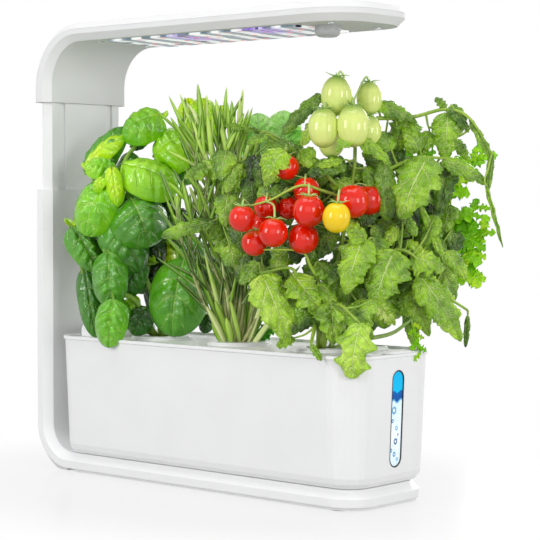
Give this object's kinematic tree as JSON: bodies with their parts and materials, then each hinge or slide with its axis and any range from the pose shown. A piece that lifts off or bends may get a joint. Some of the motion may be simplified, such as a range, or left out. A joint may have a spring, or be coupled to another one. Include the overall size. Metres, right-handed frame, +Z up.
{
  "type": "countertop hydroponic garden",
  "caption": "Countertop hydroponic garden: a C-shaped stand carries an LED lamp that slides up its column over a lift-out water tank whose deck holds pods planted with herbs and tomatoes",
  "frame": {"origin": "middle of the stand's plan, on the surface that it stands on, where the middle foot rests", "axes": "+Z up, +X along the base from the column to the free end, -Y the front"},
  "size_m": [0.3387, 0.1636, 0.3218],
  "materials": {
    "white_plastic": "satin white moulding",
    "white_satin": "white, slightly matte",
    "steel": "plain steel",
    "black_plastic": "black moulding",
    "dark_rubber": "dark rubber",
    "circuit_board": "green board",
    "white_board": "white lamp board",
    "aluminium": "plain sheet",
    "ribbon": "flat lead",
    "clear_cover": "clear, faceted inside",
    "led_white": "white emitter",
    "led_red": "red emitter",
    "led_blue": "blue emitter",
    "grey_plastic": "grey moulding",
    "window": "clear window",
    "water": "water",
    "sponge": "growing sponge",
    "copper": "wound coil in resin",
    "leaf_dark": "tomato leaves",
    "leaf_bright": "basil leaves",
    "leaf_grey": "rosemary",
    "leaf_pale": "sage leaves",
    "leaf_lime": "lettuce leaves",
    "fruit_red": "ripe tomato skin",
    "fruit_yellow": "yellow tomato skin",
    "fruit_green": "unripe tomato skin"
  },
  "bodies": {
    "frame": {"lower_frame": "white_plastic", "rear_cover": "white_plastic", "base_plate": "white_satin", "plate_screws": "steel", "feet": "dark_rubber", "guide_collar": "white_plastic", "dc_inlet": "black_plastic", "driver_board": "circuit_board", "driver_parts": "black_plastic", "base_lead": "ribbon", "folded_lead": "ribbon"},
    "lamp": {"slider": "white_plastic", "guide_shoe": "white_satin", "slider_socket": "white_satin", "arm_shell": "white_plastic", "arm_cover": "white_plastic", "lamp_screws": "steel", "light_cover": "clear_cover", "led_board": "white_board", "heat_spreader": "aluminium", "leds_white": "led_white", "leds_red": "led_red", "leds_blue": "led_blue", "sensor_dome": "grey_plastic", "control_board": "circuit_board", "lamp_lead": "ribbon"},
    "power_button": {"power_button": "grey_plastic"},
    "mode_button": {"mode_button": "grey_plastic"},
    "tank": {"tank": "white_plastic", "window_gasket": "dark_rubber", "window_glass": "window", "water": "water"},
    "deck": {"deck": "white_plastic", "flap_pin": "steel", "pod_basket_1": "white_plastic", "pod_basket_2": "white_plastic", "pod_basket_3": "white_plastic", "sponge_1": "sponge", "sponge_2": "sponge", "sponge_3": "sponge", "pod_cap_1": "white_plastic", "pod_cap_2": "white_plastic", "pod_cap_3": "white_plastic", "pump_cover": "white_plastic", "pump_jack": "black_plastic", "pump_riser": "white_plastic", "pump_body": "black_plastic", "pump_motor": "copper", "pump_shaft": "steel", "pump_intake": "black_plastic", "tomatoes_red": "fruit_red", "tomato_yellow": "fruit_yellow", "tomatoes_green": "fruit_green", "tomato_plant": "leaf_dark", "basil_plant": "leaf_bright", "rosemary_plant": "leaf_grey", "sage_plant": "leaf_pale", "lettuce_plant": "leaf_lime"},
    "flap": {"fill_flap": "white_plastic"},
    "impeller": {"impeller": "grey_plastic"}
  },
  "joints": [
    {"name": "lamp_lift", "type": "slide", "parent": "frame", "child": "lamp", "axis": [0, 0, 1], "range_m": [-0.01, 0.06], "deforming": ["folded_lead"]},
    {"name": "power_press", "type": "slide", "parent": "lamp", "child": "power_button", "axis": [0, 0, -1], "range_m": [0, 0.001], "stiffness_N_per_m": 400},
    {"name": "mode_press", "type": "slide", "parent": "lamp", "child": "mode_button", "axis": [0, 0, -1], "range_m": [0, 0.001], "stiffness_N_per_m": 400},
    {"name": "tank_slide", "type": "slide", "parent": "frame", "child": "tank", "axis": [0, -1, 0], "range_m": [0, 0.04]},
    {"name": "deck_lift", "type": "slide", "parent": "tank", "child": "deck", "axis": [0, 0, 1], "range_m": [0, 0.012]},
    {"name": "flap_hinge", "type": "hinge", "parent": "deck", "child": "flap", "pos_m": [0.1304, 0, 0.0989], "axis": [0, -1, 0], "range_deg": [0, 75]},
    {"name": "impeller_spin", "type": "hinge", "parent": "deck", "child": "impeller", "pos_m": [-0.098, 0, 0.0246], "axis": [0, 0, 1], "continuous": true}
  ]
}
